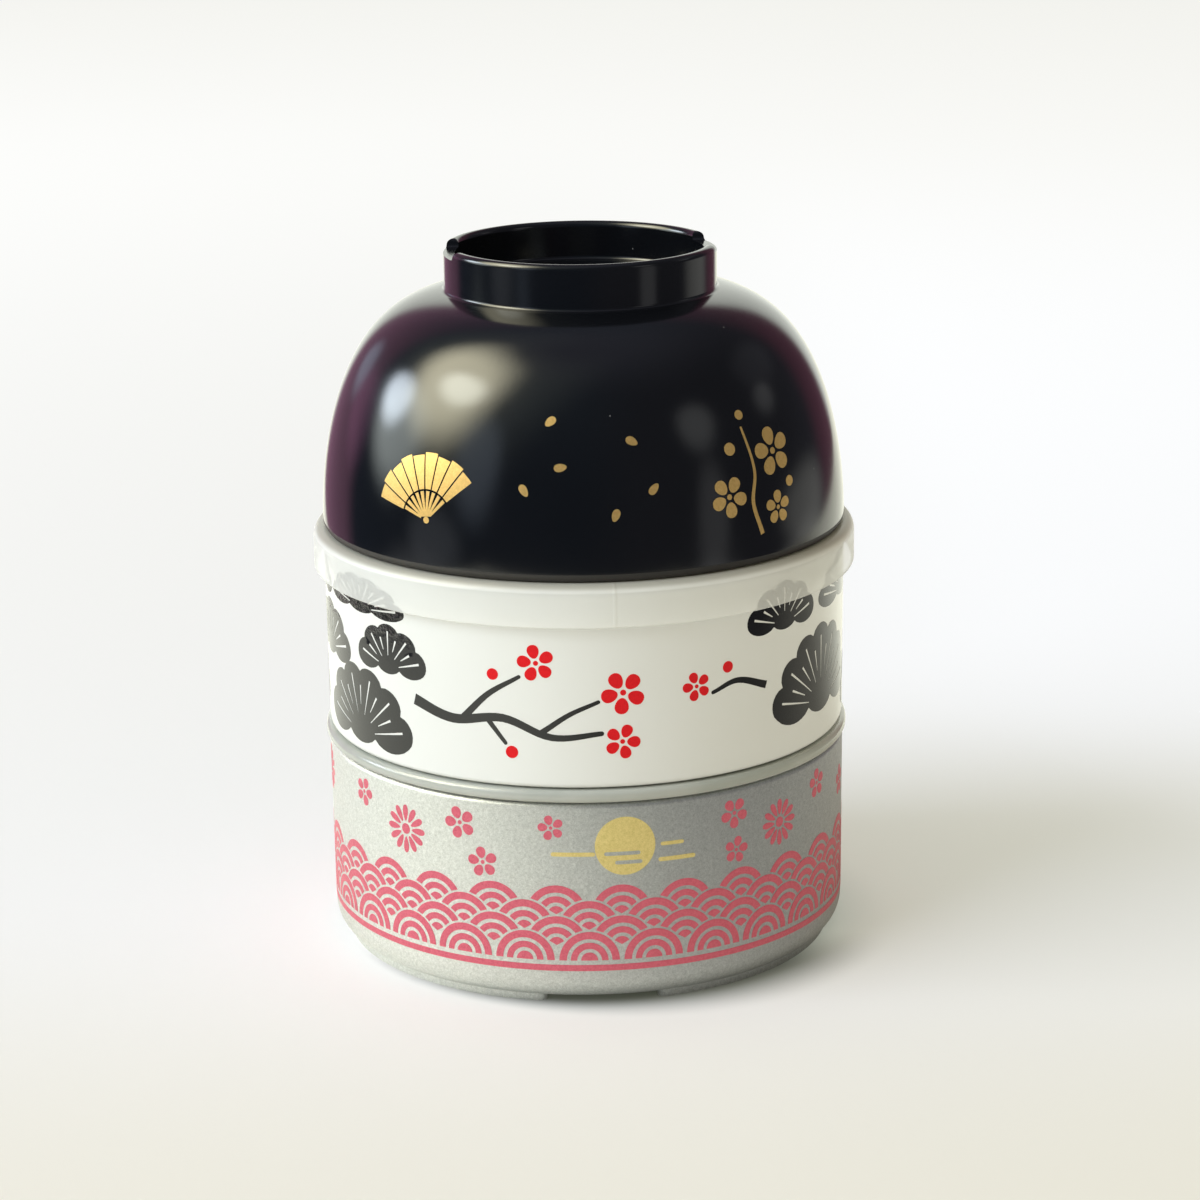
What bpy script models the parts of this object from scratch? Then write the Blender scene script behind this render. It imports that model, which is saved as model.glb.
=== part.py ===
# Two-tier round bento box.
#
# Five mouldings stack on one vertical axis: the lower tier stands on its foot, its inner lid plugs into
# it, the upper tier stands in that lid, a press-on lid closes the upper tier, and a soup bowl rests upside
# down on that lid. The origin is on the axis, where the foot meets the table. Front is -Y.

import math

import bmesh
import bpy

# Fit between the pieces
SEAT_GAP = 0.0003           # between faces that rest on each other
PLUG_CLEARANCE = 0.0003     # round a lid's plug wall, inside its tier
SNAP_CLEARANCE = 0.0002     # between the snap beads of the upper tier and its lid
RING_CLEARANCE = 0.0003     # round the upper lid's seat ring, inside the bowl's mouth
FOOT_CLEARANCE = 0.0004     # round the upper tier's foot, inside the lower lid

# Tiers
TIER_RADIUS = 0.0550        # outside, at the rim
TIER_DRAFT = 0.0002         # how much narrower a tier is at its base
TIER_WALL = 0.0022
TIER_FLOOR = 0.0022
LOWER_TIER_DEPTH = 0.0420   # from the base's underside to the rim
UPPER_TIER_DEPTH = 0.0410
LOWER_EDGE_RADIUS = 0.0055  # rounding where wall and base meet outside
LOWER_EDGE_SWEEP = math.radians(61)
UPPER_EDGE_RADIUS = 0.0012
UPPER_EDGE_SWEEP = math.radians(90)
FLOOR_FILLET = 0.0060       # rounding where wall and floor meet inside
RIM_OUTER_ROUND = 0.0010
RIM_INNER_ROUND = 0.0005

# Snap bead round the upper tier's rim, and its match inside the lid's skirt
TIER_BEAD = 0.0005          # how far the bead stands out of the tier's wall
TIER_BEAD_HEIGHT = 0.0015
BEAD_SLOPE = 0.0005         # height of the slope that leads back to the wall
LID_BEAD_DROP = 0.0030      # from the tier's rim down to the middle of the lid's bead
LID_BEAD_HEIGHT = 0.0006

# Foot under each tier: two curved bars with round ends, and a drain gap at the front and back
FOOT_HEIGHT = 0.0016
FOOT_WIDTH = 0.0028
FOOT_EDGE = 0.0004          # chamfer along the foot's lower edges
FOOT_SINK = 0.0008          # how deep the bars are moulded into the floor
LOWER_FOOT_INSET = 0.0002   # from the end of the lower tier's rounded edge to its foot
FOOT_GAP_ANGLE = math.radians(26)
FOOT_GAP_TURN = math.radians(3)

# Lids
LID_WALL = 0.0013
PLUG_DEPTH = 0.0050         # how far a plug wall reaches below its tier's rim
PLUG_LEAD = 0.0005          # chamfer that leads the plug wall in
PANEL_STEP_RADIUS = 0.0400
PANEL_STEP = 0.0008         # how much deeper the middle of a lid's panel lies
PANEL_STEP_SLOPE = 0.0010
CORNER = 0.0005             # small rounding in the lids' inner corners

# Upper lid
SKIRT_WALL = 0.0012
SKIRT_CLEARANCE = 0.0010    # between the skirt and the upper tier's wall
SKIRT_DROP = 0.00705        # from the tier's rim down to the skirt's lower edge
SKIRT_EDGE = 0.0004
SHOULDER_RADIUS = 0.0026
SEAT_RING_HEIGHT = 0.0018   # above the lid's roof
UPPER_PANEL_DROP = 0.0020   # from the lid's roof down to its panel

# Lower lid
RIM_BEAD_OVERHANG = 0.0007  # how far the bead stands out past the tiers
RIM_BEAD_HEIGHT = 0.0026
RIM_BEAD_ROUND = 0.0011

# Soup bowl, upside down: the dome's outline is r = R cos(t)^(2/a), h = H sin(t)^(2/b)
BOWL_RADIUS = 0.0550        # outside, at the mouth
BOWL_WALL = 0.0022
BOWL_BELT = 0.0020          # upright stretch above the mouth
BOWL_MOUTH_CHAMFER = 0.0009
DOME_HEIGHT = 0.0481
DOME_SIDE_POWER = 4.8       # a: larger keeps the side upright for longer
DOME_TOP_POWER = 1.85       # b: larger makes the top flatter
RING_RADIUS = 0.0284        # the bowl's foot ring, outside
RING_WALL = 0.0024
RING_HEIGHT = 0.0082        # above the bowl's base
RING_FILLET = 0.0008
NOTCH_WIDTH = 0.0167
NOTCH_DEPTH = 0.0018
NOTCH_ROUND = 0.0009
NOTCH_TURN = math.radians(6)

# Fineness
TURN_STEPS = 52
DOME_OUTER_POINTS = 15
DOME_INNER_POINTS = 11
FOOT_ARC_POINTS = 20
MERGE = 0.00001
SHARP_ANGLE = math.radians(35)
CUTTER_MARGIN = 0.004       # how far a cutter reaches past what it cuts

# Heights that follow from the stack, each from the origin of the piece below
LOWER_LID_RISE = LOWER_TIER_DEPTH + SEAT_GAP
UPPER_TIER_RISE = RIM_BEAD_HEIGHT + SEAT_GAP
UPPER_LID_RISE = UPPER_TIER_DEPTH + SEAT_GAP
BOWL_RISE = LID_WALL + SEAT_GAP

# Radii that follow from the fits
TIER_INSIDE = TIER_RADIUS - TIER_WALL
PLUG_RADIUS = TIER_INSIDE - PLUG_CLEARANCE
PLUG_INSIDE = PLUG_RADIUS - LID_WALL
LOWER_BASE_RADIUS = TIER_RADIUS - TIER_DRAFT - LOWER_EDGE_RADIUS * (1 - math.cos(LOWER_EDGE_SWEEP))
LOWER_FOOT_RADIUS = LOWER_BASE_RADIUS - LOWER_FOOT_INSET
UPPER_FOOT_RADIUS = PLUG_INSIDE - FOOT_CLEARANCE
SKIRT_INSIDE = TIER_RADIUS + SKIRT_CLEARANCE
SKIRT_RADIUS = SKIRT_INSIDE + SKIRT_WALL
BOWL_INSIDE = BOWL_RADIUS - BOWL_WALL
SEAT_RING_RADIUS = BOWL_INSIDE - RING_CLEARANCE


# Profile helpers

def arc(centre_r, centre_z, radius, start_deg, end_deg, points):
    """Points along an arc of a section, its ends included."""
    result = []
    for index in range(points):
        angle = math.radians(start_deg + (end_deg - start_deg) * index / (points - 1))
        result.append((centre_r + radius * math.cos(angle), centre_z + radius * math.sin(angle)))
    return result


def dome(radius, height, angle):
    """The bowl's rounded outline at one angle: 0 is at the mouth, 90 degrees is at the axis."""
    side = math.cos(angle) ** (2 / DOME_SIDE_POWER)
    rise = math.sin(angle) ** (2 / DOME_TOP_POWER)
    return radius * side, height * rise


def dome_angle_at(radius, at):
    """The angle at which a dome of this radius has narrowed to the radius `at`."""
    return math.acos((at / radius) ** (DOME_SIDE_POWER / 2))


# Scene helpers

def clear_scene():
    for obj in list(bpy.data.objects):
        bpy.data.objects.remove(obj, do_unlink=True)


def new_collection(name):
    collection = bpy.data.collections.new(name)
    bpy.context.scene.collection.children.link(collection)
    return collection


def plastic(name, colour, roughness, metallic=0.0, alpha=1.0):
    material = bpy.data.materials.new(name)
    material.use_nodes = True
    shader = material.node_tree.nodes["Principled BSDF"]
    shader.inputs["Base Color"].default_value = (*colour, 1.0)
    shader.inputs["Roughness"].default_value = roughness
    shader.inputs["Metallic"].default_value = metallic
    shader.inputs["Alpha"].default_value = alpha
    material.diffuse_color = (*colour, alpha)
    return material


def as_mesh(source, name, collection):
    """A plain mesh object made from what a curve or modifier evaluates to; the source is removed."""
    bpy.context.view_layer.update()
    evaluated = source.evaluated_get(bpy.context.evaluated_depsgraph_get())
    mesh = bpy.data.meshes.new_from_object(evaluated)
    shape = bmesh.new()
    shape.from_mesh(mesh)
    bmesh.ops.remove_doubles(shape, verts=shape.verts, dist=MERGE)
    shape.to_mesh(mesh)
    shape.free()
    mesh.shade_smooth()
    mesh.set_sharp_from_angle(angle=SHARP_ANGLE)
    mesh.name = name
    obj = bpy.data.objects.new(name, mesh)
    obj.matrix_world = source.matrix_world
    collection.objects.link(obj)
    bpy.data.objects.remove(source, do_unlink=True)
    return obj


def turned(name, section, material, collection):
    """A solid turned about Z from a section that starts and ends on the axis."""
    profile = bpy.data.meshes.new(name + "_section")
    corners = [(radius, 0.0, height) for radius, height in section]
    profile.from_pydata(corners, [(i, i + 1) for i in range(len(corners) - 1)], [])
    guide = bpy.data.objects.new(name + "_guide", profile)
    collection.objects.link(guide)
    screw = guide.modifiers.new("Turn", "SCREW")
    screw.axis = "Z"
    screw.steps = TURN_STEPS
    screw.render_steps = TURN_STEPS
    screw.use_merge_vertices = True
    screw.merge_threshold = MERGE
    obj = as_mesh(guide, name, collection)
    obj.data.materials.append(material)
    return obj


def extruded(name, outline, thickness, collection):
    """A flat closed outline in XY, given thickness along Z about its own plane."""
    curve = bpy.data.curves.new(name + "_outline", "CURVE")
    curve.dimensions = "2D"
    curve.fill_mode = "BOTH"
    curve.extrude = thickness / 2
    spline = curve.splines.new("POLY")
    spline.points.add(len(outline) - 1)
    for point, (x, y) in zip(spline.points, outline):
        point.co = (x, y, 0.0, 1.0)
    spline.use_cyclic_u = True
    guide = bpy.data.objects.new(name + "_guide", curve)
    collection.objects.link(guide)
    return as_mesh(guide, name, collection)


def combine(target, tool, operation):
    """Adds a tool object to the target, or cuts it out, and hides the tool."""
    tool.hide_render = True
    tool.display_type = "WIRE"
    boolean = target.modifiers.new(tool.name, "BOOLEAN")
    boolean.operation = operation
    boolean.solver = "EXACT"
    boolean.object = tool


def stack(upper, lower, rise):
    """Sets a piece on the one below; its origin stays on the shared axis."""
    upper.parent = lower
    upper.location = (0.0, 0.0, rise)


# Tiers

def tier_section(depth, edge_radius, edge_sweep, bead):
    """Section of a tier, with the base's underside at height 0."""
    base_radius = TIER_RADIUS - TIER_DRAFT
    base_inside = TIER_INSIDE - TIER_DRAFT
    rim_radius = TIER_RADIUS + bead
    edge_centre_z = edge_radius * math.sin(edge_sweep)
    section = [(0.0, TIER_FLOOR)]
    section += arc(base_inside - FLOOR_FILLET, TIER_FLOOR + FLOOR_FILLET, FLOOR_FILLET, -90, 0, 5)
    section += arc(TIER_INSIDE + RIM_INNER_ROUND, depth - RIM_INNER_ROUND, RIM_INNER_ROUND, 180, 90, 2)
    section += arc(rim_radius - RIM_OUTER_ROUND, depth - RIM_OUTER_ROUND, RIM_OUTER_ROUND, 90, 0, 4)
    if bead:
        section.append((rim_radius, depth - TIER_BEAD_HEIGHT))
        section.append((TIER_RADIUS, depth - TIER_BEAD_HEIGHT - BEAD_SLOPE))
    section += arc(base_radius - edge_radius, edge_centre_z, edge_radius, 0, -math.degrees(edge_sweep), 5)
    section.append((0.0, 0.0))
    return section


def foot_outline(radius, start, end):
    """Outline of one curved foot bar with round ends, between two angles that its tips reach."""
    half = FOOT_WIDTH / 2
    middle = radius - half
    tip = half / middle
    first = start + tip
    last = end - tip
    outline = []
    for index in range(FOOT_ARC_POINTS):
        angle = first + (last - first) * index / (FOOT_ARC_POINTS - 1)
        outline.append((radius * math.cos(angle), radius * math.sin(angle)))
    for step in (45, 90, 135):
        turn = last + math.radians(step)
        outline.append((middle * math.cos(last) + half * math.cos(turn),
                        middle * math.sin(last) + half * math.sin(turn)))
    for index in range(FOOT_ARC_POINTS):
        angle = last + (first - last) * index / (FOOT_ARC_POINTS - 1)
        outline.append(((radius - FOOT_WIDTH) * math.cos(angle), (radius - FOOT_WIDTH) * math.sin(angle)))
    for step in (-135, -90, -45):
        turn = first + math.radians(step)
        outline.append((middle * math.cos(first) + half * math.cos(turn),
                        middle * math.sin(first) + half * math.sin(turn)))
    return outline


def add_foot(tier, radius, tools):
    """Two foot bars under a tier, with drain gaps that face front and back."""
    front = math.radians(-90) + FOOT_GAP_TURN
    height = FOOT_HEIGHT + FOOT_SINK
    for number in range(2):
        start = front + FOOT_GAP_ANGLE / 2 + number * math.pi
        end = start + math.pi - FOOT_GAP_ANGLE
        outline = foot_outline(radius, start, end)
        bar = extruded(f"{tier.name}_foot_{number + 1}", outline, height, tools)
        bar.parent = tier
        bar.location = (0.0, 0.0, FOOT_SINK - height / 2)
        edge = bar.modifiers.new("Edge", "BEVEL")
        edge.width = FOOT_EDGE
        edge.segments = 1
        edge.limit_method = "ANGLE"
        edge.angle_limit = math.radians(60)
        combine(tier, bar, "UNION")


def make_lower_tier(parts, tools):
    silver = plastic("silver_paint", (0.62, 0.63, 0.61), 0.55, metallic=0.7)
    section = tier_section(LOWER_TIER_DEPTH, LOWER_EDGE_RADIUS, LOWER_EDGE_SWEEP, 0.0)
    tier = turned("lower_tier", section, silver, parts)
    add_foot(tier, LOWER_FOOT_RADIUS, tools)
    return tier


def make_upper_tier(parts, tools):
    white = plastic("white_gloss", (0.845, 0.85, 0.825), 0.24)
    section = tier_section(UPPER_TIER_DEPTH, UPPER_EDGE_RADIUS, UPPER_EDGE_SWEEP, TIER_BEAD)
    tier = turned("upper_tier", section, white, parts)
    add_foot(tier, UPPER_FOOT_RADIUS, tools)
    return tier


# Lids

def panel(height, outwards):
    """One face of a lid's panel with its sunk middle, from the axis outwards or back."""
    face = [
        (0.0, height - PANEL_STEP),
        (PANEL_STEP_RADIUS - PANEL_STEP_SLOPE, height - PANEL_STEP),
        (PANEL_STEP_RADIUS, height),
    ]
    return face if outwards else face[::-1]


def plug(bottom):
    """The lower end of a plug wall, from its outer face round to its inner face."""
    return [
        (PLUG_RADIUS, bottom + PLUG_LEAD),
        (PLUG_RADIUS - PLUG_LEAD, bottom),
        (PLUG_INSIDE, bottom),
    ]


def make_upper_lid(parts):
    """The press-on lid; height 0 is the roof's underside, which rests on the tier's rim."""
    milky = plastic("milky_lid", (0.93, 0.94, 0.90), 0.42, alpha=0.8)
    rim = -SEAT_GAP
    skirt_bottom = rim - SKIRT_DROP
    panel_top = LID_WALL - UPPER_PANEL_DROP
    ring_inside = SEAT_RING_RADIUS - LID_WALL
    ring_top = LID_WALL + SEAT_RING_HEIGHT
    bead_radius = TIER_RADIUS + TIER_BEAD + SNAP_CLEARANCE
    bead_z = rim - LID_BEAD_DROP
    shoulder_r = SKIRT_RADIUS - SHOULDER_RADIUS
    shoulder_z = LID_WALL - SHOULDER_RADIUS

    section = panel(panel_top, outwards=True)
    section += arc(ring_inside - CORNER, panel_top + CORNER, CORNER, -90, 0, 2)
    section += arc(ring_inside + CORNER, ring_top - CORNER, CORNER, 180, 90, 2)
    section += arc(SEAT_RING_RADIUS - CORNER, ring_top - CORNER, CORNER, 90, 0, 2)
    section.append((SEAT_RING_RADIUS, LID_WALL))
    section += arc(shoulder_r, shoulder_z, SHOULDER_RADIUS, 90, 0, 6)
    section += arc(SKIRT_RADIUS - SKIRT_EDGE, skirt_bottom + SKIRT_EDGE, SKIRT_EDGE, 0, -90, 3)
    section.append((SKIRT_INSIDE, skirt_bottom))
    section.append((SKIRT_INSIDE, bead_z - LID_BEAD_HEIGHT / 2 - BEAD_SLOPE))
    section.append((bead_radius, bead_z - LID_BEAD_HEIGHT / 2))
    section.append((bead_radius, bead_z + LID_BEAD_HEIGHT / 2))
    section.append((SKIRT_INSIDE, bead_z + LID_BEAD_HEIGHT / 2 + BEAD_SLOPE))
    section += arc(shoulder_r, shoulder_z, SHOULDER_RADIUS - LID_WALL, 0, 90, 4)
    section.append((PLUG_RADIUS, 0.0))
    section += plug(rim - PLUG_DEPTH)
    section.append((PLUG_INSIDE, panel_top - LID_WALL))
    section += panel(panel_top - LID_WALL, outwards=False)
    return turned("upper_lid", section, milky, parts)


def make_lower_lid(parts):
    """The inner lid; height 0 is the underside of its rim bead, which rests on the tier's rim."""
    green_grey = plastic("clear_lid", (0.71, 0.73, 0.67), 0.30, alpha=0.7)
    bead_radius = TIER_RADIUS + RIM_BEAD_OVERHANG
    bead_r = bead_radius - RIM_BEAD_ROUND
    panel_top = RIM_BEAD_HEIGHT - FOOT_HEIGHT

    section = panel(panel_top, outwards=True)
    section += arc(PLUG_INSIDE - CORNER, panel_top + CORNER, CORNER, -90, 0, 2)
    section += arc(PLUG_INSIDE + CORNER, RIM_BEAD_HEIGHT - CORNER, CORNER, 180, 90, 2)
    section += arc(bead_r, RIM_BEAD_HEIGHT - RIM_BEAD_ROUND, RIM_BEAD_ROUND, 90, 0, 4)
    section += arc(bead_r, RIM_BEAD_ROUND, RIM_BEAD_ROUND, 0, -90, 4)
    section.append((PLUG_RADIUS, 0.0))
    section += plug(-SEAT_GAP - PLUG_DEPTH)
    section.append((PLUG_INSIDE, panel_top - LID_WALL))
    section += panel(panel_top - LID_WALL, outwards=False)
    return turned("lower_lid", section, green_grey, parts)


# Soup bowl

def bowl_section():
    """Section of the bowl upside down, with the mouth at height 0."""
    base = BOWL_BELT + DOME_HEIGHT
    ring_inside = RING_RADIUS - RING_WALL
    lip_round = RING_WALL / 2
    lip_z = base + RING_HEIGHT - lip_round
    flare_end = dome_angle_at(BOWL_RADIUS, RING_RADIUS + RING_FILLET)
    flare_z = BOWL_BELT + dome(BOWL_RADIUS, DOME_HEIGHT, flare_end)[1]

    section = [(0.0, base)]
    section += arc(ring_inside - RING_FILLET, base + RING_FILLET, RING_FILLET, -90, 0, 3)
    section += arc(ring_inside + lip_round, lip_z, lip_round, 180, 0, 7)
    section += arc(RING_RADIUS + RING_FILLET, flare_z + RING_FILLET, RING_FILLET, 180, 270, 3)[:-1]
    for index in range(DOME_OUTER_POINTS):
        angle = flare_end * (1 - index / DOME_OUTER_POINTS)
        radius, height = dome(BOWL_RADIUS, DOME_HEIGHT, angle)
        section.append((radius, BOWL_BELT + height))
    section.append((BOWL_RADIUS, BOWL_MOUTH_CHAMFER))
    section.append((BOWL_RADIUS - BOWL_MOUTH_CHAMFER / 2, 0.0))
    section.append((BOWL_INSIDE, 0.0))
    for index in range(DOME_INNER_POINTS):
        angle = math.pi / 2 * index / DOME_INNER_POINTS
        radius, height = dome(BOWL_INSIDE, DOME_HEIGHT - BOWL_WALL, angle)
        section.append((radius, BOWL_BELT + height))
    section.append((0.0, base - BOWL_WALL))
    return section


def notch_outline():
    """Outline of a drain notch seen from the side, x across and y up, with the lip's top at y 0."""
    half = NOTCH_WIDTH / 2
    side = [(half + NOTCH_ROUND, CUTTER_MARGIN)]
    side += arc(half + NOTCH_ROUND, -NOTCH_ROUND, NOTCH_ROUND, 90, 180, 4)
    side += arc(half - NOTCH_ROUND, NOTCH_ROUND - NOTCH_DEPTH, NOTCH_ROUND, 0, -90, 4)[1:]
    return side + [(-x, y) for x, y in reversed(side)]


def make_soup_bowl(parts, tools):
    black = plastic("black_gloss", (0.004, 0.0045, 0.006), 0.14)
    bowl = turned("soup_bowl", bowl_section(), black, parts)
    lip_top = BOWL_BELT + DOME_HEIGHT + RING_HEIGHT
    length = RING_WALL + 2 * CUTTER_MARGIN
    for number in range(2):
        turn = NOTCH_TURN + number * math.pi
        reach = RING_RADIUS - RING_WALL / 2
        notch = extruded(f"drain_notch_{number + 1}", notch_outline(), length, tools)
        notch.parent = bowl
        notch.rotation_euler = (math.pi / 2, 0.0, turn + math.pi / 2)
        notch.location = (reach * math.cos(turn), reach * math.sin(turn), lip_top)
        combine(bowl, notch, "DIFFERENCE")
    return bowl


def main():
    clear_scene()
    parts = new_collection("bento_box")
    tools = new_collection("bento_box_tools")
    lower_tier = make_lower_tier(parts, tools)
    lower_lid = make_lower_lid(parts)
    upper_tier = make_upper_tier(parts, tools)
    upper_lid = make_upper_lid(parts)
    soup_bowl = make_soup_bowl(parts, tools)
    lower_tier.location = (0.0, 0.0, FOOT_HEIGHT)
    stack(lower_lid, lower_tier, LOWER_LID_RISE)
    stack(upper_tier, lower_lid, UPPER_TIER_RISE)
    stack(upper_lid, upper_tier, UPPER_LID_RISE)
    stack(soup_bowl, upper_lid, BOWL_RISE)


main()
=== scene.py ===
# Looks of the two-tier round bento box with its soup bowl.
#
# Each moulding is turned again here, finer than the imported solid, on the same section. The prints are
# thin closed films laid on the walls. Lengths are metres, except in the print outlines, which are drawn
# flat in millimetres: x runs round the wall from the front towards +X, y is the height, or on the dome
# the way up along it.

import math

import bmesh
import bpy
from mathutils import Matrix, Vector


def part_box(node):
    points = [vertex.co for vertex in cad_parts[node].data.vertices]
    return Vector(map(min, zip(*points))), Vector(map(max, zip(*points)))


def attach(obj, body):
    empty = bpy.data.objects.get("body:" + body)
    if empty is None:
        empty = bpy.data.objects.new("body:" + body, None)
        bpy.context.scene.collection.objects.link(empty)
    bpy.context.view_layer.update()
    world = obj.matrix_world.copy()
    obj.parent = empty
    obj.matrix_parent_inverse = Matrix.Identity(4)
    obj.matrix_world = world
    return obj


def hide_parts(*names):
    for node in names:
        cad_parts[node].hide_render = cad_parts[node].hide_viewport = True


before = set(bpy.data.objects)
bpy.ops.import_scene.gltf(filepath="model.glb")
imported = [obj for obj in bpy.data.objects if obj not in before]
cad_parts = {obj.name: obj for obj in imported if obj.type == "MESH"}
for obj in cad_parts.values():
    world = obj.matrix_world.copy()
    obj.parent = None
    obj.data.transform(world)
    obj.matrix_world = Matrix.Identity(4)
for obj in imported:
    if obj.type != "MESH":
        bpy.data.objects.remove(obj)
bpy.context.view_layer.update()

MM = 0.001

# What the frame gives
LOWER_TIER_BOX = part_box("lower_tier")
LOWER_LID_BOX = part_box("lower_lid")
UPPER_TIER_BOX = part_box("upper_tier")
UPPER_LID_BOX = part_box("upper_lid")
SOUP_BOWL_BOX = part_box("soup_bowl")
TIER_RADIUS = LOWER_TIER_BOX[1].x
LOWER_RIM = LOWER_TIER_BOX[1].z
UPPER_RIM = UPPER_TIER_BOX[1].z
BOWL_RADIUS = SOUP_BOWL_BOX[1].x
BOWL_MOUTH = SOUP_BOWL_BOX[0].z
BOWL_LIP = SOUP_BOWL_BOX[1].z

# Tiers
TIER_DRAFT = 0.0002
TIER_WALL = 0.0022
TIER_FLOOR = 0.0022
FLOOR_FILLET = 0.0060
LOWER_EDGE_RADIUS = 0.0055
LOWER_EDGE_SWEEP = math.radians(61)
UPPER_EDGE_RADIUS = 0.0012
RIM_OUTER_ROUND = 0.0010
RIM_INNER_ROUND = 0.0005
TIER_BEAD_HEIGHT = 0.0015
TIER_BEAD_ROUND = 0.0003
BEAD_SLOPE = 0.0005
SMALL_ROUND = 0.0002
FOOT_HEIGHT = 0.0016
FOOT_WIDTH = 0.0028
FOOT_EDGE = 0.0004
FOOT_SINK = 0.0008
LOWER_FOOT_INSET = 0.0002
FOOT_CLEARANCE = 0.0004
FOOT_GAP_ANGLE = math.radians(26)
FOOT_GAP_TURN = math.radians(3)
SEAT_GAP = 0.0003

# Lids
PLUG_CLEARANCE = 0.0003
LID_WALL = 0.0013
PLUG_LEAD = 0.0005
PANEL_STEP_RADIUS = 0.0400
PANEL_STEP = 0.0008
PANEL_STEP_SLOPE = 0.0010
PANEL_ROUND = 0.0006
LID_CORNER = 0.0004
SKIRT_WALL = 0.0012
SKIRT_EDGE = 0.0004
SHOULDER_RADIUS = 0.0026
UPPER_PANEL_DROP = 0.0020
LID_BEAD_DROP = 0.0030
LID_BEAD_HEIGHT = 0.0006
SNAP_CLEARANCE = 0.0002
RIM_BEAD_ROUND = 0.0011

# Soup bowl
BOWL_WALL = 0.0022
BOWL_BELT = 0.0020
BELT_ROUND = 0.0004
MOUTH_CHAMFER = 0.0009
MOUTH_ROUND = 0.0003
MOUTH_BAND = 0.0015
DOME_HEIGHT = 0.0481
DOME_SIDE_POWER = 4.8
DOME_TOP_POWER = 1.85
RING_RADIUS = 0.0284
RING_WALL = 0.0024
RING_FILLET = 0.0008
RING_CLEARANCE = 0.0003
NOTCH_WIDTH = 0.0167
NOTCH_DEPTH = 0.0018
NOTCH_ROUND = 0.0009
NOTCH_TURN = math.radians(6)
CUTTER_MARGIN = 0.004

# Fineness
TURN_STEPS = 240
ARC_STEP = math.radians(15)
DOME_OUTER_POINTS = 90
DOME_INNER_POINTS = 40
SHARP_ANGLE = math.radians(40)
MERGE = 0.000002
FOOT_ARC_POINTS = 90
DOME_WALL_POINTS = 400

# Films
FILM_OUT = 0.045            # mm that a film's face stands off the wall
FILM_IN = 0.06              # mm that a film's back lies inside the wall
FILM_STEP = 1.5             # mm between the cuts that let a film bend
FILM_MERGE = 0.0005         # mm within which a flat print's points are one

# Looks
KNIT_TURN = math.radians(6)
KNIT_EDGES = (0.002, 0.009)  # half widths of the knit line, sharp and faded, in radians
SKIRT_COVER = 0.62          # how much of the milky skirt's outer face hides what is behind it
WET_TURN = math.radians(-58)
WET_EDGES = (0.2, 0.45)     # half widths of the print's wet side, full and faded, in radians
WET_HEIGHTS = (0.0765, 0.081)

# What follows from them
TIER_INSIDE = TIER_RADIUS - TIER_WALL
PLUG_RADIUS = TIER_INSIDE - PLUG_CLEARANCE
PLUG_INSIDE = PLUG_RADIUS - LID_WALL
LOWER_BASE_RADIUS = TIER_RADIUS - TIER_DRAFT - LOWER_EDGE_RADIUS * (1 - math.cos(LOWER_EDGE_SWEEP))
BOWL_INSIDE = BOWL_RADIUS - BOWL_WALL


# Shapes

def added_object(name, data):
    """A new object in the scene."""
    obj = bpy.data.objects.new(name, data)
    bpy.context.scene.collection.objects.link(obj)
    return obj


def finished(shape, name, material):
    """An object from a bmesh, with clean outward faces, smooth but for its edges."""
    bmesh.ops.remove_doubles(shape, verts=shape.verts, dist=MERGE)
    bmesh.ops.recalc_face_normals(shape, faces=shape.faces)
    mesh = bpy.data.meshes.new(name)
    shape.to_mesh(mesh)
    shape.free()
    mesh.shade_smooth()
    mesh.set_sharp_from_angle(angle=SHARP_ANGLE)
    mesh.materials.append(material)
    return added_object(name, mesh)


def taken(obj):
    """The bmesh that an object's curve or modifiers give; the object goes."""
    bpy.context.view_layer.update()
    mesh = bpy.data.meshes.new_from_object(obj.evaluated_get(bpy.context.evaluated_depsgraph_get()))
    mesh.transform(obj.matrix_world)
    shape = bmesh.new()
    shape.from_mesh(mesh)
    bpy.data.objects.remove(obj, do_unlink=True)
    bpy.data.meshes.remove(mesh)
    return shape


def spun(name, points, material, closed=False):
    """A mesh turned once about Z from a row of points; a closed row gives a ring."""
    shape = bmesh.new()
    turns = [Matrix.Rotation(2 * math.pi * step / TURN_STEPS, 3, "Z") for step in range(TURN_STEPS)]
    rings = []
    for point in map(Vector, points):
        if point.xy.length < MERGE:
            rings.append([shape.verts.new(point)] * TURN_STEPS)
        else:
            rings.append([shape.verts.new(turn @ point) for turn in turns])
    for ring, after in zip(rings, rings[1:] + rings[:closed]):
        for step in range(TURN_STEPS):
            corners = (ring[step], ring[step - 1], after[step - 1], after[step])
            shape.faces.new(dict.fromkeys(corners))
    return finished(shape, name, material)


def turned(name, section, material):
    """A solid turned from a section of (radius, height) points that starts and ends on the axis."""
    return spun(name, [(radius, 0.0, height) for radius, height in section], material)


def settle(piece, body, replaces=None):
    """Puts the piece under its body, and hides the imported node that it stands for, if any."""
    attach(piece, body)
    if replaces:
        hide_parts(replaces)


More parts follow.
